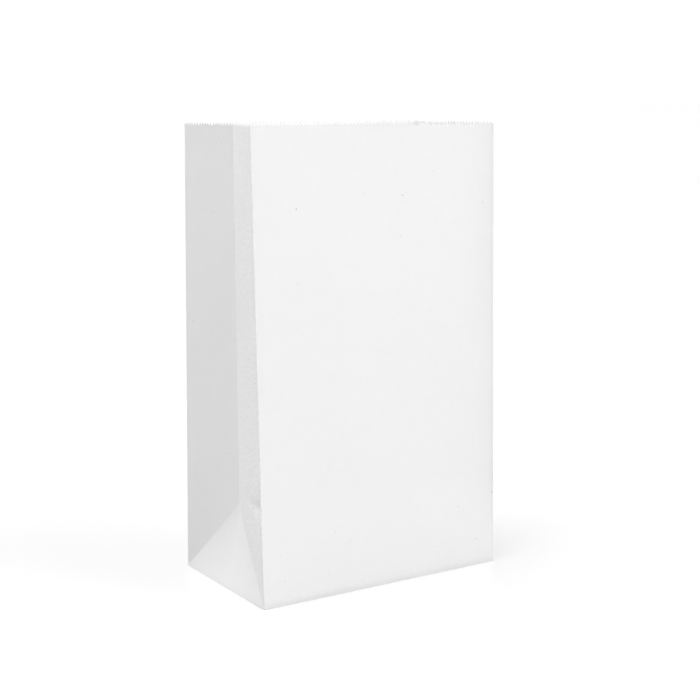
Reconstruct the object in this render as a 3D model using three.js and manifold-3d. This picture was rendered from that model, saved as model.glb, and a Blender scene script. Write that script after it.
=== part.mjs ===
// A small flat-bottomed paper bag, standing open: one sheet of white kraft paper, folded and glued.
// The sheet is rolled into a tube and glued along a lap on the back panel. A gusset is folded into
// each side, the lower end of the tube is folded over and glued as the bottom, and the mouth keeps
// the saw teeth that the knife leaves.
// Millimetres. X runs along the front panel, Y from front to back, and Z up. The origin is at the
// middle of the bottom, on the surface that the bag stands on.

import * as THREE from "three";
import { mergeVertices } from "three/addons/utils/BufferGeometryUtils.js";
import Module from "manifold-3d";

// The opened bag
const bagWidth = 152.4; // front panel, from side fold to side fold
const baseDepth = 88.6; // bottom, from front fold to back fold
const bagHeight = 250; // standing surface to the valleys of the saw teeth
const mouthDepth = 72.8; // mouth, from front panel to back panel
const mouthTuck = 10; // how far in the gusset's middle fold lies at the mouth
const creaseTuck = 10.4; // how far in that fold lies where the two bottom creases meet it
const bottomCreaseAngle = 45.5; // degrees from the base edge, seen from the side

// The paper and its cut edges
const paperThickness = 0.3;
const toothPitch = 2;
const toothDepth = 1.6;

// The glued laps
const sideLapWidth = 12;
const sideLapSetback = 20; // from the back panel's left fold to the lap's nearer edge
const bottomLapWidth = 12; // how far each bottom flap reaches past the middle of the bottom

// How finely a panel is divided
const panelRows = 8;
const panelColumns = 6;

const paperColour = 0xf4f4f3;
const paperRoughness = 0.85;

// The bottom is three plies: the turned-in sides, the back flap and the front flap under both.
const bottomPlyHeight = 2 * paperThickness;

const wasm = await Module();
wasm.setup();

// One straight fold or crease, from its foot to its head, and on past the head for the tooth tips.
function foldLine(foot, head) {
  return {
    foot,
    head,
    at: (share) => foot.clone().lerp(head, share),
    tipShare: 1 + toothDepth / (head.z - foot.z),
  };
}

// The six upright folds of the tube, in order around it, seen from above against the clock.
function uprightFolds() {
  const creaseHeight = bottomPlyHeight + (baseDepth / 2) * Math.tan(THREE.MathUtils.degToRad(bottomCreaseAngle));
  const corner = (side, end) => foldLine(
    new THREE.Vector3((side * bagWidth) / 2, (end * baseDepth) / 2, bottomPlyHeight),
    new THREE.Vector3((side * bagWidth) / 2, (end * mouthDepth) / 2, bagHeight),
  );
  const gussetFold = (side) => foldLine(
    new THREE.Vector3(side * (bagWidth / 2 - creaseTuck), 0, creaseHeight),
    new THREE.Vector3(side * (bagWidth / 2 - mouthTuck), 0, bagHeight),
  );
  return {
    frontLeft: corner(-1, -1),
    frontRight: corner(1, -1),
    rightGusset: gussetFold(1),
    backRight: corner(1, 1),
    backLeft: corner(-1, 1),
    leftGusset: gussetFold(-1),
  };
}

// Fills the band between two rows of points that end above each other and differ in number.
function bandBetween(lowerRow, upperRow) {
  const triangles = [];
  let lower = 0;
  let upper = 0;
  while (lower < lowerRow.length - 1 || upper < upperRow.length - 1) {
    const nextLower = (lower + 1) / (lowerRow.length - 1);
    const nextUpper = (upper + 1) / (upperRow.length - 1);
    if (nextLower <= nextUpper) {
      triangles.push([lowerRow[lower], lowerRow[lower + 1], upperRow[upper]]);
      lower += 1;
    } else {
      triangles.push([lowerRow[lower], upperRow[upper + 1], upperRow[upper]]);
      upper += 1;
    }
  }
  return triangles;
}

function pointsBetween(start, end, steps) {
  return Array.from({ length: steps + 1 }, (_, step) => start.clone().lerp(end, step / steps));
}

// The saw teeth along the top of the panel between two folds, standing in the panel's own surface.
function teethBetween(left, right, toothCount) {
  const valleys = pointsBetween(left.head, right.head, toothCount);
  const tips = pointsBetween(left.at(left.tipShare), right.at(right.tipShare), 2 * toothCount);
  const teeth = Array.from({ length: toothCount }, (_, tooth) => (
    [valleys[tooth], valleys[tooth + 1], tips[2 * tooth + 1]]
  ));
  return { valleys, teeth };
}

// One panel of the tube, ruled from fold to fold, with a whole number of teeth along its top.
function panelBetween(left, right) {
  const toothCount = Math.max(1, Math.round(left.head.distanceTo(right.head) / toothPitch));
  const { valleys, teeth } = teethBetween(left, right, toothCount);
  const rows = Array.from({ length: panelRows }, (_, row) => (
    pointsBetween(left.at(row / panelRows), right.at(row / panelRows), panelColumns)
  ));
  rows.push(valleys);
  const bands = rows.slice(1).flatMap((row, index) => bandBetween(rows[index], row));
  return [...bands, ...teeth];
}

// The flat triangle above one end of the base, between the two creases that meet on the gusset fold.
function bottomTriangle(near, far, apex) {
  const nearCrease = pointsBetween(near, apex, panelColumns);
  const farCrease = pointsBetween(far, apex, panelColumns);
  const triangles = [];
  for (let step = 0; step < panelColumns; step += 1) {
    triangles.push([nearCrease[step], farCrease[step], nearCrease[step + 1]]);
    if (step < panelColumns - 1) {
      triangles.push([farCrease[step], farCrease[step + 1], nearCrease[step + 1]]);
    }
  }
  return triangles;
}

// The ply that closes the tube's lower end, seen from below.
function basePly(folds) {
  const front = pointsBetween(folds.frontLeft.foot, folds.frontRight.foot, panelColumns);
  const back = pointsBetween(folds.backLeft.foot, folds.backRight.foot, panelColumns);
  return bandBetween(back, front);
}

// The outer face of the whole bag, open along the mouth.
function outerFace() {
  const folds = uprightFolds();
  return [
    ...panelBetween(folds.frontLeft, folds.frontRight),
    ...panelBetween(folds.frontRight, folds.rightGusset),
    ...panelBetween(folds.rightGusset, folds.backRight),
    ...panelBetween(folds.backRight, folds.backLeft),
    ...panelBetween(folds.backLeft, folds.leftGusset),
    ...panelBetween(folds.leftGusset, folds.frontLeft),
    ...bottomTriangle(folds.frontRight.foot, folds.backRight.foot, folds.rightGusset.foot),
    ...bottomTriangle(folds.backLeft.foot, folds.frontLeft.foot, folds.leftGusset.foot),
    ...basePly(folds),
  ];
}

// A geometry whose triangles share their corner points.
function sharedGeometry(triangles) {
  const corners = triangles.flat().flatMap((point) => point.toArray());
  const geometry = new THREE.BufferGeometry();
  geometry.setAttribute("position", new THREE.Float32BufferAttribute(corners, 3));
  return mergeVertices(geometry, 1e-3);
}

// The move that sets a point back by the same distance from every face that meets there.
function setback(normals, distance) {
  const sums = new Array(9).fill(0);
  const total = new THREE.Vector3();
  for (const normal of normals) {
    const parts = normal.toArray();
    parts.forEach((a, row) => parts.forEach((b, column) => { sums[3 * row + column] += a * b; }));
    total.addScaledVector(normal, -distance);
  }
  const steadying = 1e-6 * normals.length;
  [0, 4, 8].forEach((diagonal) => { sums[diagonal] += steadying; });
  return total.applyMatrix3(new THREE.Matrix3().set(...sums).invert());
}

// Gives an open face its thickness on the inner side, and closes it along its free edge.
function thicken(face, thickness) {
  const position = face.getAttribute("position");
  const outer = Array.from({ length: position.count }, (_, i) => new THREE.Vector3().fromBufferAttribute(position, i));
  const corners = Array.from(face.index.array);
  const meeting = outer.map(() => []);
  const edges = new Map();
  for (let start = 0; start < corners.length; start += 3) {
    const [a, b, c] = corners.slice(start, start + 3);
    const normal = new THREE.Triangle(outer[a], outer[b], outer[c]).getNormal(new THREE.Vector3());
    [a, b, c].forEach((corner) => meeting[corner].push(normal));
    [[a, b], [b, c], [c, a]].forEach(([from, to]) => edges.set(`${from} ${to}`, [from, to]));
  }
  const inner = outer.map((point, i) => point.clone().add(setback(meeting[i], thickness)));
  const triangles = [];
  for (let start = 0; start < corners.length; start += 3) {
    const [a, b, c] = corners.slice(start, start + 3);
    triangles.push([outer[a], outer[b], outer[c]], [inner[c], inner[b], inner[a]]);
  }
  for (const [from, to] of edges.values()) {
    if (!edges.has(`${to} ${from}`)) {
      triangles.push([outer[to], outer[from], inner[from]], [outer[to], inner[from], inner[to]]);
    }
  }
  return sharedGeometry(triangles);
}

// A flat piece of paper from its outline, standing on Z = 0.
function cutPiece(outline, thickness) {
  return new THREE.ExtrudeGeometry(new THREE.Shape(outline), { depth: thickness, bevelEnabled: false });
}

// The outline of a bottom flap, folded in from its wall towards positive Y: its ends are folded
// at 45 degrees from the corners of the base, and its free edge has the knife's teeth.
function flapOutline() {
  const fold = paperThickness;
  const reach = baseDepth / 2 + bottomLapWidth;
  const freeHalf = bagWidth / 2 - reach;
  const foldHalf = bagWidth / 2 - fold;
  const foldLineY = fold - baseDepth / 2;
  const toothCount = Math.max(1, Math.round((2 * freeHalf) / toothPitch));
  const outline = [new THREE.Vector2(-foldHalf, foldLineY), new THREE.Vector2(foldHalf, foldLineY)];
  for (let half = 0; half <= 2 * toothCount; half += 1) {
    const x = freeHalf - (half * freeHalf) / toothCount;
    const y = bottomLapWidth + (half % 2) * toothDepth;
    outline.push(new THREE.Vector2(x, y));
  }
  return outline;
}

// The front flap is glued on last, so it is the lowest ply and the one that the bag stands on.
function frontFlap() {
  return cutPiece(flapOutline(), bottomPlyHeight + paperThickness / 2);
}

// The back flap lies one ply higher, under the front flap's free edge.
function backFlap() {
  const flap = cutPiece(flapOutline(), bottomPlyHeight - paperThickness / 2);
  flap.rotateZ(Math.PI);
  flap.translate(0, 0, paperThickness);
  return flap;
}

// The lap down the back panel, where the sheet's two edges are glued over each other.
function sideLap() {
  const rise = bagHeight - bottomPlyHeight;
  const lean = (baseDepth - mouthDepth) / 2;
  const length = Math.hypot(rise, lean);
  const outline = [[0, paperThickness], [sideLapWidth, paperThickness], [sideLapWidth, length], [0, length]];
  const strip = cutPiece(outline.map(([x, y]) => new THREE.Vector2(x, y)), 1.5 * paperThickness);
  strip.translate(0, 0, -paperThickness);
  strip.rotateX(Math.PI / 2 + Math.atan2(lean, rise));
  strip.translate(-bagWidth / 2 + sideLapSetback, baseDepth / 2, bottomPlyHeight);
  return strip;
}

function solidFrom(geometry) {
  const bare = geometry.clone();
  bare.deleteAttribute("normal");
  bare.deleteAttribute("uv");
  const shared = mergeVertices(bare, 1e-3);
  return new wasm.Manifold(new wasm.Mesh({
    numProp: 3,
    vertProperties: new Float32Array(shared.getAttribute("position").array),
    triVerts: new Uint32Array(shared.index.array),
  }));
}

function geometryFrom(solid) {
  const mesh = solid.getMesh();
  const geometry = new THREE.BufferGeometry();
  geometry.setAttribute("position", new THREE.Float32BufferAttribute(mesh.vertProperties, 3));
  geometry.setIndex(new THREE.BufferAttribute(mesh.triVerts, 1));
  geometry.computeVertexNormals();
  return geometry;
}

function paperBag() {
  const plies = [thicken(sharedGeometry(outerFace()), paperThickness), frontFlap(), backFlap(), sideLap()];
  const glued = plies.map(solidFrom).reduce((bag, ply) => bag.add(ply));
  const paper = new THREE.MeshStandardMaterial({
    color: paperColour,
    roughness: paperRoughness,
    metalness: 0,
    flatShading: true,
  });
  const bag = new THREE.Mesh(geometryFrom(glued), paper);
  bag.name = "bag";
  return bag;
}

const prescriptionBag = new THREE.Group();
prescriptionBag.add(paperBag());

export default prescriptionBag;
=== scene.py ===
import math

import bmesh
import bpy
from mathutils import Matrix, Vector, noise


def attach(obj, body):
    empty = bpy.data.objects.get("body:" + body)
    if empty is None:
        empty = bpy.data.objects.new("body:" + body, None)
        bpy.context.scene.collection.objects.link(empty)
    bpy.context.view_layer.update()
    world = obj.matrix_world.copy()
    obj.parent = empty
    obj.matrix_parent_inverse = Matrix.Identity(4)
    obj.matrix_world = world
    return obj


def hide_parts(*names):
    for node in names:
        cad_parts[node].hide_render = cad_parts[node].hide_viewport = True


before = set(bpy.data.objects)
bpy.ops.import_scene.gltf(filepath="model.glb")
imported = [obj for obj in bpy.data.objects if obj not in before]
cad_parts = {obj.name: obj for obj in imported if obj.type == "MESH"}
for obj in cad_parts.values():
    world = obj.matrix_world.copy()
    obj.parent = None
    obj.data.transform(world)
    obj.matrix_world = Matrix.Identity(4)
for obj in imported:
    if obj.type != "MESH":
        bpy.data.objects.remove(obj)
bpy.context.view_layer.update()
bpy.ops.object.select_all(action="DESELECT")

# The view: the camera stands to the front left of the bag and a little above its middle, and looks
# ten degrees down. The bag's front panel and its left gusset show, and a sliver of its inside.
bpy.ops.object.camera_add(
    location=(-0.43454, -0.68242, 0.26691),
    rotation=(math.radians(80.03), 0, math.radians(-32.84)),
)
camera = bpy.context.object
camera.name = "camera"
camera.data.sensor_width = 36
camera.data.lens = 75.2
bpy.context.scene.camera = camera
bpy.context.scene.view_settings.view_transform = "Standard"

# The light: a white studio. Wide soft lights hang high on the left and at the back, one shines on
# the front panel from the right, and weaker ones and the pale room give the rest from all round.
ROOM_LIGHT = 0.266
BACKDROP_WHITE = 1.05
LEFT_LIGHT = 1.83
FRONT_LIGHT = 2.03
BACK_LIGHT = 0.85
TOP_LIGHT = 0.34
BACK_LEFT_LIGHT = 0.26
RIGHT_LIGHT = 0.22

world = bpy.data.worlds.new("studio")
bpy.context.scene.world = world
world.use_nodes = True
sky = world.node_tree.nodes
sky.clear()
room = sky.new("ShaderNodeBackground")
room.inputs["Color"].default_value = (1, 1, 1, 1)
room.inputs["Strength"].default_value = ROOM_LIGHT
backdrop = sky.new("ShaderNodeBackground")
backdrop.inputs["Color"].default_value = (1, 1, 1, 1)
backdrop.inputs["Strength"].default_value = BACKDROP_WHITE
seen = sky.new("ShaderNodeLightPath")
either = sky.new("ShaderNodeMixShader")
world_output = sky.new("ShaderNodeOutputWorld")
world.node_tree.links.new(seen.outputs["Is Camera Ray"], either.inputs["Fac"])
world.node_tree.links.new(room.outputs["Background"], either.inputs[1])
world.node_tree.links.new(backdrop.outputs["Background"], either.inputs[2])
world.node_tree.links.new(either.outputs["Shader"], world_output.inputs["Surface"])


def soft_light(name, toward, strength, spread):
    """A broad light that shines along a direction, with the spread of its source in degrees."""
    bpy.ops.object.light_add(type="SUN", location=(0, 0, 1))
    light = bpy.context.object
    light.name = name
    light.rotation_euler = Vector(toward).to_track_quat("-Z", "Y").to_euler()
    light.data.energy = strength
    light.data.angle = math.radians(spread)


soft_light("left_light", (0.4, 0.0, -1.0), LEFT_LIGHT, 40)
soft_light("front_light", (-0.8, 0.8, -0.6), FRONT_LIGHT, 50)
soft_light("back_light", (0.0, -0.8, -1.0), BACK_LIGHT, 50)
soft_light("top_light", (0.0, 0.001, -1.0), TOP_LIGHT, 60)
soft_light("back_left_light", (0.8, -0.8, -0.5), BACK_LEFT_LIGHT, 50)
soft_light("right_light", (-0.7, 0.0, -1.0), RIGHT_LIGHT, 50)

# A small soft lamp above the mouth lights the inside of the back panel, as light that falls into
# the open bag does, and shines a little through the gussets at the top.
MOUTH_LIGHT = 0.0095
MOUTH_LAMP_LENGTH = 0.085
MOUTH_LAMP_WIDTH = 0.03
bpy.ops.object.light_add(type="AREA", location=(0, -0.012, 0.284))
mouth_light = bpy.context.object
mouth_light.name = "mouth_light"
mouth_light.rotation_euler = Vector((0, 1, -0.35)).to_track_quat("-Z", "Y").to_euler()
mouth_light.data.shape = "RECTANGLE"
mouth_light.data.size = MOUTH_LAMP_LENGTH
mouth_light.data.size_y = MOUTH_LAMP_WIDTH
mouth_light.data.energy = MOUTH_LIGHT
mouth_light.visible_camera = False

# The floor is a plain pale sheet. It glows a little to the camera alone, so that only the bag's soft
# shadow shows on it.
FLOOR_SIZE = 60
FLOOR_GREY = 0.484
FLOOR_GLOW = 0.372

bpy.ops.mesh.primitive_plane_add(size=FLOOR_SIZE, location=(0, 0, 0))
floor = bpy.context.object
floor.name = "floor"
floor_paint = bpy.data.materials.new("pale_floor")
floor_paint.use_nodes = True
floor_finish = floor_paint.node_tree.nodes["Principled BSDF"]
floor_finish.inputs["Base Color"].default_value = (FLOOR_GREY, FLOOR_GREY, FLOOR_GREY, 1)
floor_finish.inputs["Roughness"].default_value = 0.4
floor_finish.inputs["Specular IOR Level"].default_value = 0.3
floor_finish.inputs["Emission Color"].default_value = (1, 1, 1, 1)
floor_nodes = floor_paint.node_tree
floor_seen = floor_nodes.nodes.new("ShaderNodeLightPath")
floor_glow = floor_nodes.nodes.new("ShaderNodeMath")
floor_glow.operation = "MULTIPLY"
floor_glow.inputs[1].default_value = FLOOR_GLOW
floor_nodes.links.new(floor_seen.outputs["Is Camera Ray"], floor_glow.inputs[0])
floor_nodes.links.new(floor_glow.outputs["Value"], floor_finish.inputs["Emission Strength"])
floor.data.materials.append(floor_paint)

# The bag is one sheet of white kraft paper, rolled to a tube and glued along a lap on the back.
# A gusset is folded into each side, the lower end is folded over and glued as the flat bottom,
# and the mouth keeps the saw teeth of the knife.
WIDTH = 0.1524
BASE_DEPTH = 0.0886
MOUTH_DEPTH = 0.0728
HEIGHT = 0.2498
MOUTH_TUCK = 0.0100
CREASE_TUCK = 0.0104
CREASE_HEIGHT = 0.0451
PLY_PITCH = 0.00013
PAPER = 0.9 * PLY_PITCH
TOOTH_DEPTH = 0.0016
PANEL_TEETH = 76
GUSSET_TEETH = 18
ROWS = 60
FOLD_ROUND = 0.00022
MOUTH_SKEW = -0.0188

HALF_WIDTH = WIDTH / 2
HALF_DEPTH = BASE_DEPTH / 2
FLOOR_GAP = 0.1 * PLY_PITCH
NEAR = 1e-5


def selecting(kind, test):
    """Selects only the faces, edges or verts of the mesh in edit mode that pass the test."""
    bpy.ops.mesh.select_all(action="DESELECT")
    bpy.ops.mesh.select_mode(type={"faces": "FACE", "edges": "EDGE", "verts": "VERT"}[kind])
    mesh = bmesh.from_edit_mesh(bpy.context.object.data)
    for part in getattr(mesh, kind):
        part.select = bool(test(part))
    mesh.select_flush_mode()
    bmesh.update_edit_mesh(bpy.context.object.data)


def on_side(point):
    return abs(abs(point.x) - HALF_WIDTH) < NEAR


def on_end(point):
    return abs(abs(point.y) - HALF_DEPTH) < NEAR


def is_upright(edge):
    """A side fold of the tube, or the gusset's middle fold above the bottom creases."""
    a, b = edge.verts[0].co, edge.verts[1].co
    upright = abs(a.x - b.x) < NEAR and abs(a.y - b.y) < NEAR
    return upright and on_side(a) and max(a.z, b.z) > HEIGHT - NEAR


def is_base_middle(edge):
    """The middle line of a gusset below the creases, which isn't a fold once the bag is open."""
    return all(abs(corner.co.y) < NEAR and corner.co.z < CREASE_HEIGHT + NEAR for corner in edge.verts)


def runs_along_panel(edge):
    a, b = edge.verts[0].co, edge.verts[1].co
    level = abs(a.y - b.y) < NEAR and abs(a.z - b.z) < NEAR
    return level and abs(a.x - b.x) > NEAR and on_end(a) and on_end(b)


def crosses_gusset(edge):
    """An edge of a side from its corner fold to its middle, or down the middle of its base triangle."""
    a, b = edge.verts[0].co, edge.verts[1].co
    across = abs(a.y - b.y) > HALF_DEPTH / 2
    return on_side(a) and on_side(b) and (across or is_base_middle(edge))


# Blank: a box without its lid, cut along the gussets' middle folds and the bottom creases.
bpy.ops.mesh.primitive_cube_add(size=1, location=(0, 0, 0))
bag = bpy.context.object
bag.name = "paper_bag"
bpy.ops.object.mode_set(mode="EDIT")
bpy.ops.mesh.select_all(action="SELECT")
bpy.ops.transform.resize(value=(WIDTH, BASE_DEPTH, HEIGHT))
bpy.ops.transform.translate(value=(0, 0, HEIGHT / 2))
selecting("faces", lambda face: face.normal.z > 0.9)
bpy.ops.mesh.delete(type="FACE")
selecting("faces", lambda face: abs(face.normal.x) > 0.9)
bpy.ops.mesh.bisect(plane_co=(0, 0, 0), plane_no=(0, 1, 0))
for end in (-1, 1):
    selecting("faces", lambda face: abs(face.normal.x) > 0.9 and face.calc_center_median().y * end > 0)
    bpy.ops.mesh.bisect(plane_co=(0, end * HALF_DEPTH, 0), plane_no=(0, end * CREASE_HEIGHT, HALF_DEPTH))

# Its folds are marked, and each panel is divided finely, with two steps to a tooth along the mouth.
selecting("edges", lambda edge: len(edge.link_faces) == 2 and not is_base_middle(edge))
bpy.ops.mesh.mark_seam()
selecting("edges", is_upright)
bpy.ops.mesh.subdivide(number_cuts=ROWS - 1)
for cuts in (PANEL_TEETH - 1, 1):
    selecting("edges", runs_along_panel)
    bpy.ops.mesh.subdivide(number_cuts=cuts)
selecting("edges", crosses_gusset)
bpy.ops.mesh.subdivide(number_cuts=2 * GUSSET_TEETH - 1)

# The left gusset has a crumple beside its front fold, and closer rows there to take its shape.
CRUMPLE_HEIGHT = 0.0525
CRUMPLE_REACH = 0.008
CRUMPLE_FRONT = -0.0435
CRUMPLE_REAR = -0.006
CRUMPLE_ROW = 0.0011
ROWS_EACH_WAY = 6


def beside_crumple(face):
    middle = face.calc_center_median()
    level = abs(middle.z - CRUMPLE_HEIGHT) < CRUMPLE_REACH
    return face.normal.x < -0.9 and level and CRUMPLE_FRONT < middle.y < CRUMPLE_REAR


for step in range(-ROWS_EACH_WAY, ROWS_EACH_WAY + 1):
    selecting("faces", beside_crumple)
    bpy.ops.mesh.bisect(plane_co=(0, 0, CRUMPLE_HEIGHT + CRUMPLE_ROW * step), plane_no=(0, 0, 1))
bpy.ops.object.mode_set(mode="OBJECT")

# This mask is 1 on a fold and fades to 0 a few millimetres from it: the paper is bruised there, and the
# colour takes a painted shade from it along each fold and a painted highlight on the fold's very edge.
FOLD_MASK_REACH = 0.004


def fold_distance(x, y, z):
    """How far a point of the blank lies from the nearest fold or crease."""
    distances = [z]
    if abs(abs(x) - HALF_WIDTH) < NEAR:
        crease_run = math.hypot(HALF_DEPTH, CREASE_HEIGHT)
        above_crease = (z * HALF_DEPTH - CREASE_HEIGHT * (HALF_DEPTH - abs(y))) / crease_run
        distances += [HALF_DEPTH - abs(y), abs(above_crease)]
        if z > CREASE_HEIGHT:
            distances.append(abs(y))
    if abs(abs(y) - HALF_DEPTH) < NEAR:
        distances.append(HALF_WIDTH - abs(x))
    return max(0.0, min(distances))


fold_mask_layer = bag.data.attributes.new("fold_bruise_and_shade", "FLOAT", "POINT")
for vertex in bag.data.vertices:
    near_fold = 1 - fold_distance(*vertex.co) / FOLD_MASK_REACH
    fold_mask_layer.data[vertex.index].value = max(0.0, near_fold) ** 2

# crumpled is 1 over the front half of each gusset above the bottom creases, where the paper is
# finely wrinkled, and rises further beside the front fold at the height of the crumple.
WRINKLE_FADE = 0.004
WRINKLE_SPREAD = 0.012
WORST_WRINKLE = 1.5
crumpled = bag.data.attributes.new("crumpled", "FLOAT", "POINT")
for vertex in bag.data.vertices:
    x, y, z = vertex.co
    if abs(abs(x) - HALF_WIDTH) < NEAR and y < 0:
        edge_fade = min(1.0, -y / WRINKLE_FADE)
        worst = math.exp(-(((z - CRUMPLE_HEIGHT) / WRINKLE_SPREAD) ** 2)) * -y / HALF_DEPTH
        below_crease = z / CREASE_HEIGHT < 1 + y / HALF_DEPTH
        wrinkled = edge_fade * (1 + WORST_WRINKLE * worst)
        crumpled.data[vertex.index].value = 0.0 if below_crease else wrinkled

# The saw teeth: every second point along the mouth is a tip, and so is each fold. cut_edge is 1 on the
# teeth, whose outside gets a painted shade, and fades below them.
cut_edge = bag.data.attributes.new("cut_edge", "FLOAT", "POINT")
for vertex in bag.data.vertices:
    x, y, z = vertex.co
    if z > HEIGHT - NEAR:
        cut_edge.data[vertex.index].value = 1.0
        if on_end(vertex.co):
            step = round((x + HALF_WIDTH) / WIDTH * 2 * PANEL_TEETH)
        else:
            step = round((y + HALF_DEPTH) / BASE_DEPTH * 4 * GUSSET_TEETH)
        vertex.co.z += TOOTH_DEPTH * (1 - step % 2)

# Opened: the gussets tuck in, the panels lean together, and the sheet bows and cockles a little.
STIFF_FOOT = 0.03
FRONT_HOLLOW = 0.0018
FRONT_HOLLOW_REACH = 0.0075
FRONT_HOLLOW_RISE = 0.05
LEFT_HOLLOW = 1.25
BASE_BULGE = 0.0004
BASE_CURL = 0.0045
BACK_BOW = 0.0016
BACK_BOW_RISE = 0.8
GUSSET_BOW = 0.0006
TRIANGLE_SAG = 0.60
COCKLE = 0.00012
COCKLE_LENGTH = 0.055
COCKLE_PLACE = Vector((3.1, 7.4, 1.9))
CRUMPLE_DEPTH = 0.0008
CRUMPLE_SHARE = 0.80
CRUMPLE_BREADTH = 0.30
CRUMPLE_EDGE = 0.06
CRUMPLE_ABOVE = 0.0040
CRUMPLE_BELOW = 0.0032


def dent(distance, reach):
    """A soft hollow: 1 at its middle and nearly 0 at twice its reach."""
    return math.exp(-((distance / reach) ** 2))


def opened(x, y, z):
    """Where a point of the blank lies on the opened bag."""
    rise = z / HEIGHT
    share = abs(y) / HALF_DEPTH
    side = math.copysign(1, x)
    above_creases = max(0.0, z - CREASE_HEIGHT) / (HEIGHT - CREASE_HEIGHT)
    below_crease = 1 - share - z / CREASE_HEIGHT
    tuck = (CREASE_TUCK + (MOUTH_TUCK - CREASE_TUCK) * above_creases) * (1 - share)
    if below_crease > 0:
        tuck = CREASE_TUCK * z / CREASE_HEIGHT * (1 + TRIANGLE_SAG * below_crease)
    half_depth = HALF_DEPTH + (MOUTH_DEPTH / 2 - HALF_DEPTH) * rise
    new_x = x - side * tuck if abs(abs(x) - HALF_WIDTH) < NEAR else x
    new_y = y / HALF_DEPTH * half_depth
    stand_up = min(1.0, z / STIFF_FOOT)
    curl = 1 - math.exp(-z / BASE_CURL)
    ripple = COCKLE * noise.noise(Vector((x, y, z)) / COCKLE_LENGTH + COCKLE_PLACE)
    if abs(abs(x) - HALF_WIDTH) < NEAR and share < 1 - 1e-4:
        across = math.sin(math.pi * share)
        new_x += side * stand_up * across * (GUSSET_BOW * math.sin(math.pi * rise) + 2 * ripple)
        if y < 0 and x < 0:
            above = z - CRUMPLE_HEIGHT
            fold_side = dent(share - CRUMPLE_SHARE, CRUMPLE_BREADTH) * min(1.0, (1 - share) / CRUMPLE_EDGE)
            new_x += CRUMPLE_DEPTH * fold_side * dent(above, CRUMPLE_ABOVE if above > 0 else CRUMPLE_BELOW)
    elif on_end(Vector((x, y, z))):
        from_right = (HALF_WIDTH - x) / FRONT_HOLLOW_REACH
        from_left = (x + HALF_WIDTH) / WIDTH
        across = math.cos(math.pi * x / WIDTH)
        if y < 0:
            inner = (1 - math.exp(-from_right)) * min(1.0, LEFT_HOLLOW * from_left)
            new_y += inner * (min(1.0, z / FRONT_HOLLOW_RISE) * FRONT_HOLLOW - curl * BASE_BULGE)
            new_y -= stand_up * 2 * ripple * across
        else:
            back_bow = BACK_BOW * math.sin(math.pi * min(1.0, rise * BACK_BOW_RISE))
            new_y += stand_up * across * (back_bow + 2 * ripple)
    new_y += new_x * MOUTH_SKEW * rise
    return Vector((new_x, new_y, FLOOR_GAP + z))


for vertex in bag.data.vertices:
    vertex.co = opened(*vertex.co)

# The lap: the outer ply comes round the left corner and ends on the back panel, glued over the
# sheet's other edge, and the knife has cut both together.
LAP_FREE_EDGE = -0.0442
bpy.ops.object.mode_set(mode="EDIT")
selecting("faces", lambda face: face.normal.y > 0.8 and face.calc_center_median().x < LAP_FREE_EDGE)
bpy.ops.mesh.duplicate()
lap_mesh = bmesh.from_edit_mesh(bag.data)
for vertex in lap_mesh.verts:
    if vertex.select:
        vertex.co.y += PLY_PITCH
        vertex.co.x = max(vertex.co.x, FOLD_ROUND - HALF_WIDTH)
bmesh.update_edit_mesh(bag.data)

# The folds are rounded as paper rounds. Inside its edge the bottom is lifted off the floor by two
# plies, for the two flaps that lie under it.
BASE_LIFT = 2 * PLY_PITCH
BASE_RIM = 0.0012
selecting("edges", lambda edge: edge.seam and len(edge.link_faces) == 2)
bpy.ops.mesh.bevel(offset=FOLD_ROUND, segments=3, affect="EDGES")
selecting("faces", lambda face: face.normal.z < -0.995)
bpy.ops.mesh.inset(thickness=BASE_RIM)
bpy.ops.transform.translate(value=(0, 0, BASE_LIFT))
bpy.ops.object.mode_set(mode="OBJECT")

# At the mouth, the rounding keeps each fold a tip.
for side in (-1, 1):
    for place in (-1, 0, 1):
        tip = opened(side * HALF_WIDTH, place * HALF_DEPTH, HEIGHT + TOOTH_DEPTH)
        for vertex in bag.data.vertices:
            beside = math.hypot(vertex.co.x - tip.x, vertex.co.y - tip.y) < 2 * FOLD_ROUND
            if beside and vertex.co.z > HEIGHT:
                vertex.co.z = tip.z

# The bottom flaps: the back one is folded in first and the front one is glued over it. Their ends
# are folded at 45 degrees from the corners, and their free edges have the knife's teeth.
BOTTOM_LAP = 0.012
FLAP_REACH = HALF_DEPTH + BOTTOM_LAP
FLAP_INSET = 0.0017
TOOTH_PITCH = 0.002
FLAP_TEETH = round(2 * (HALF_WIDTH - FLAP_REACH) / TOOTH_PITCH)
BACK_FLAP_HEIGHT = 1.08 * PLY_PITCH


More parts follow.
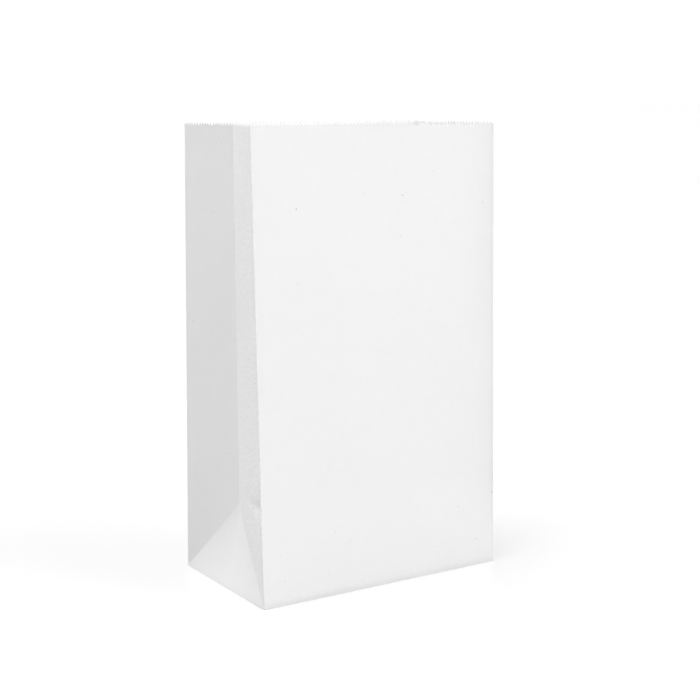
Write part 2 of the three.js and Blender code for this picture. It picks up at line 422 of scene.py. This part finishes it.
def bottom_flap(name, end, height):
    """A flap that is folded in from the panel at this end, at this height above the floor."""
    bpy.ops.mesh.primitive_plane_add(size=2, location=(0, 0, 0))
    flap = bpy.context.object
    flap.name = name
    bpy.ops.object.mode_set(mode="EDIT")
    mesh = bmesh.from_edit_mesh(flap.data)
    for corner in mesh.verts:
        at_fold = corner.co.y < 0
        half = HALF_WIDTH - FLAP_INSET if at_fold else HALF_WIDTH - FLAP_REACH
        corner.co.x = math.copysign(half, corner.co.x)
        corner.co.y = FLAP_INSET - HALF_DEPTH if at_fold else BOTTOM_LAP
    bmesh.update_edit_mesh(flap.data)
    selecting("edges", lambda edge: all(v.co.y > 0 for v in edge.verts))
    bpy.ops.mesh.subdivide(number_cuts=2 * FLAP_TEETH - 1)
    mesh = bmesh.from_edit_mesh(flap.data)
    for tooth in mesh.verts:
        step = round((tooth.co.x / (HALF_WIDTH - FLAP_REACH) + 1) * FLAP_TEETH)
        if tooth.co.y > 0 and step % 2:
            tooth.co.y += TOOTH_DEPTH
    for point in mesh.verts:
        point.co = (-end * point.co.x, -end * point.co.y, height)
    bmesh.update_edit_mesh(flap.data)
    bpy.ops.mesh.select_all(action="SELECT")
    bpy.ops.mesh.quads_convert_to_tris()
    bpy.ops.mesh.flip_normals()
    bpy.ops.object.mode_set(mode="OBJECT")
    return flap


back_flap = bottom_flap("back_flap", 1, BACK_FLAP_HEIGHT)
front_flap = bottom_flap("front_flap", -1, FLOOR_GAP)
bpy.ops.object.select_all(action="DESELECT")
for ply in (back_flap, front_flap, bag):
    ply.select_set(True)
bpy.context.view_layer.objects.active = bag
bpy.ops.object.join()

# The sheet gets its thickness on the inside.
outer_points = len(bag.data.vertices)
thickness = bag.modifiers.new("paper thickness", "SOLIDIFY")
thickness.thickness = PAPER
thickness.offset = -1
thickness.use_even_offset = True
bpy.ops.object.modifier_apply(modifier=thickness.name)
bpy.ops.object.shade_smooth_by_angle(angle=math.radians(35))

# inner_face is 1 on the sheet's inner side, whose colour is painted lighter than the outer side as painted
# light inside the open bag.
inner_face = bag.data.attributes.new("inner_face", "FLOAT", "POINT")
for vertex in bag.data.vertices:
    inner_face.data[vertex.index].value = float(vertex.index >= outer_points)

# White kraft paper: bright and matt, a little cloudy where the pulp lies thicker, with a fine tooth, pale
# fibres that run up the web, a few dark flecks of bark, and a bruised line along every fold that also
# carries painted shade, with a painted highlight on its very edge. Its colour also carries painted light:
# lighter on the inner side, painted shade on the teeth, and painted shade and highlight mottling the
# wrinkled gussets.
# It is thin enough for some light to come through.
PAPER_WHITE = 0.90
# The inner side's white is the paper's white raised by painted light.
INNER_WHITE_AND_LIGHT = 0.97
CLOUD_SIZE = 0.0060
CLOUD_SHADE = 0.004
GRAIN_SIZE = 0.00045
GRAIN_SHADE = 0.006
FIBRE_WIDTH = 0.00035
FIBRE_SHADE = 0.012
LIGHT_DEPTH = 0.00008

paper = bpy.data.materials.new("white_kraft_paper")
paper.use_nodes = True
nodes, links = paper.node_tree.nodes, paper.node_tree.links
finish = nodes["Principled BSDF"]
place = nodes.new("ShaderNodeTexCoord").outputs["Object"]


def noise_of(size, detail, stretch=(1, 1, 1), roughness=0.5):
    """Noise whose blotches are about this size in metres, longer along the axes with a small stretch."""
    mapping = nodes.new("ShaderNodeMapping")
    mapping.inputs["Scale"].default_value = [factor / size for factor in stretch]
    texture = nodes.new("ShaderNodeTexNoise")
    texture.inputs["Scale"].default_value = 1
    texture.inputs["Detail"].default_value = detail
    texture.inputs["Roughness"].default_value = roughness
    links.new(place, mapping.inputs["Vector"])
    links.new(mapping.outputs["Vector"], texture.inputs["Vector"])
    return texture.outputs["Fac"]


def ranged(value, low, high, new_low, new_high):
    """A value brought from one range to another, and held to the ends of the new one."""
    node = nodes.new("ShaderNodeMapRange")
    for socket, number in zip(("From Min", "From Max", "To Min", "To Max"), (low, high, new_low, new_high)):
        node.inputs[socket].default_value = number
    links.new(value, node.inputs["Value"])
    return node.outputs["Result"]


def combined(operation, first, second):
    """Two values, or a value and a number, put together by a math node."""
    node = nodes.new("ShaderNodeMath")
    node.operation = operation
    for socket, value in zip(node.inputs, (first, second)):
        if isinstance(value, (int, float)):
            socket.default_value = value
        else:
            links.new(value, socket)
    return node.outputs["Value"]


def attribute_of(name):
    """How strongly the mesh is marked at a point, such as how near to a fold it lies."""
    node = nodes.new("ShaderNodeAttribute")
    node.attribute_name = name
    return node.outputs["Fac"]


creases = attribute_of("fold_bruise_and_shade")
pressed = attribute_of("crumpled")
inner = attribute_of("inner_face")
teeth = attribute_of("cut_edge")
clouds = noise_of(CLOUD_SIZE, 3)
grain = noise_of(GRAIN_SIZE, 3, roughness=0.65)
fibres = noise_of(FIBRE_WIDTH, 2, stretch=(1, 1, 0.12))
shade = ranged(clouds, 0.3, 0.7, -CLOUD_SHADE, CLOUD_SHADE)
shade = combined("ADD", shade, ranged(grain, 0.3, 0.7, -GRAIN_SHADE, GRAIN_SHADE))
shade = combined("ADD", shade, ranged(fibres, 0.62, 0.85, 0.0, FIBRE_SHADE))

# The folds are bruised, and their colour gets a painted shade along each fold and a painted highlight on
# its very edge.
FOLD_BRUISE_AND_SHADE = 0.012
FOLD_EDGE_HIGHLIGHT = 0.040
shade = combined("SUBTRACT", shade, combined("MULTIPLY", creases, FOLD_BRUISE_AND_SHADE))
shade = combined("ADD", shade, ranged(creases, 0.80, 1.0, 0.0, FOLD_EDGE_HIGHLIGHT))

# The front halves of the gussets are finely wrinkled, and the light and shade of the wrinkles is painted
# into their colour as a mottle of painted shade and painted highlight.
WRINKLE_SIZE = 0.0013
WRINKLE_PAINTED_SHADE = 0.042
WRINKLE_PAINTED_HIGHLIGHT = 0.030
wrinkles = noise_of(WRINKLE_SIZE, 3, stretch=(1, 0.45, 1))
wrinkle_light_and_shade = combined("MULTIPLY", pressed, ranged(wrinkles, 0.3, 0.7, -WRINKLE_PAINTED_SHADE, WRINKLE_PAINTED_HIGHLIGHT))
shade = combined("ADD", shade, wrinkle_light_and_shade)

# The inner side is painted lighter than the outer side, as painted light inside the open bag, and the teeth
# of the mouth get a painted shade on the outside, which makes them the greyest.
TEETH_PAINTED_SHADE = 0.13
outside = combined("SUBTRACT", 1.0, inner)
teeth_shade = combined("MULTIPLY", ranged(teeth, 0.90, 1.0, 0.0, TEETH_PAINTED_SHADE), outside)
shade = combined("ADD", shade, ranged(inner, 0.0, 1.0, PAPER_WHITE, INNER_WHITE_AND_LIGHT))
shade = combined("SUBTRACT", shade, teeth_shade)

# Dark flecks of bark lie in the sheet, and more of them show where the gussets were rubbed.
FLECK_SPACING = 0.0060
FLECK_RADIUS = 0.00048
FLECK_PLACE = (0.35, 0.10, 0.62)
FLECK_DARK = 0.40
RUBBED_SPACING = 0.0034
RUBBED_RADIUS = 0.00040
RUBBED_PLACE = (0.2, 0.7, 0.4)
RUBBED_DARK = 0.30


def flecks_of(spacing, radius, shift, darkest):
    """How dark the flecks are at a point: one to a cell at most, of mixed sizes and strengths."""
    mapping = nodes.new("ShaderNodeMapping")
    mapping.inputs["Location"].default_value = shift
    mapping.inputs["Scale"].default_value = [1 / spacing] * 3
    cells = nodes.new("ShaderNodeTexVoronoi")
    cells.inputs["Scale"].default_value = 1
    shape = nodes.new("ShaderNodeSeparateColor")
    links.new(place, mapping.inputs["Vector"])
    links.new(mapping.outputs["Vector"], cells.inputs["Vector"])
    links.new(cells.outputs["Color"], shape.inputs["Color"])
    edge = combined("MULTIPLY", ranged(shape.outputs["Red"], 0.0, 1.0, 0.4, 1.0), radius / spacing)
    inside = combined("SUBTRACT", edge, cells.outputs["Distance"])
    speck = ranged(inside, 0.0, 0.25 * radius / spacing, 0.0, 1.0)
    return combined("MULTIPLY", speck, ranged(shape.outputs["Green"], 0.55, 1.0, 0.03, darkest))


flecks = flecks_of(FLECK_SPACING, FLECK_RADIUS, FLECK_PLACE, FLECK_DARK)
rubbed = flecks_of(RUBBED_SPACING, RUBBED_RADIUS, RUBBED_PLACE, RUBBED_DARK)
flecks = combined("MAXIMUM", flecks, combined("MULTIPLY", rubbed, pressed))
shade = combined("MULTIPLY", shade, combined("SUBTRACT", 1.0, flecks))

# The white is a shade warm.
PAPER_TINT = (1.0, 1.0, 0.998)
colour = nodes.new("ShaderNodeCombineColor")
for channel, tint in zip(("Red", "Green", "Blue"), PAPER_TINT):
    links.new(combined("MULTIPLY", shade, tint), colour.inputs[channel])
links.new(colour.outputs["Color"], finish.inputs["Base Color"])
links.new(ranged(grain, 0.3, 0.7, 0.72, 0.86), finish.inputs["Roughness"])
finish.inputs["Specular IOR Level"].default_value = 0.3
finish.inputs["Subsurface Weight"].default_value = 1.0
finish.inputs["Subsurface Radius"].default_value = (1.0, 1.0, 1.0)
finish.inputs["Subsurface Scale"].default_value = LIGHT_DEPTH

# The relief: the tooth of the sheet, the bruises along the folds, and the wrinkles of the gussets.
# Each height is a multiple of the relief's depth.
RELIEF_DEPTH = 0.00004
GRAIN_HEIGHT = 0.45
FIBRE_HEIGHT = 0.25
BRUISE_SIZE = 0.0012
BRUISE_HEIGHT = 1.2
WRINKLE_HEIGHT = 3.5
SWELL_SIZE = 0.0030
SWELL_HEIGHT = 0.6
bruises = combined("MULTIPLY", creases, noise_of(BRUISE_SIZE, 2))
crumple = combined("MULTIPLY", pressed, wrinkles)
relief = combined("MULTIPLY", grain, GRAIN_HEIGHT)
relief = combined("ADD", relief, combined("MULTIPLY", fibres, FIBRE_HEIGHT))
relief = combined("ADD", relief, combined("MULTIPLY", bruises, BRUISE_HEIGHT))
relief = combined("ADD", relief, combined("MULTIPLY", crumple, WRINKLE_HEIGHT))
relief = combined("ADD", relief, combined("MULTIPLY", noise_of(SWELL_SIZE, 2), SWELL_HEIGHT))
bump = nodes.new("ShaderNodeBump")
bump.inputs["Strength"].default_value = 1.0
bump.inputs["Distance"].default_value = RELIEF_DEPTH
links.new(relief, bump.inputs["Height"])
links.new(bump.outputs["Normal"], finish.inputs["Normal"])
bag.data.materials.clear()
bag.data.materials.append(paper)

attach(bag, "root")
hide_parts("bag")
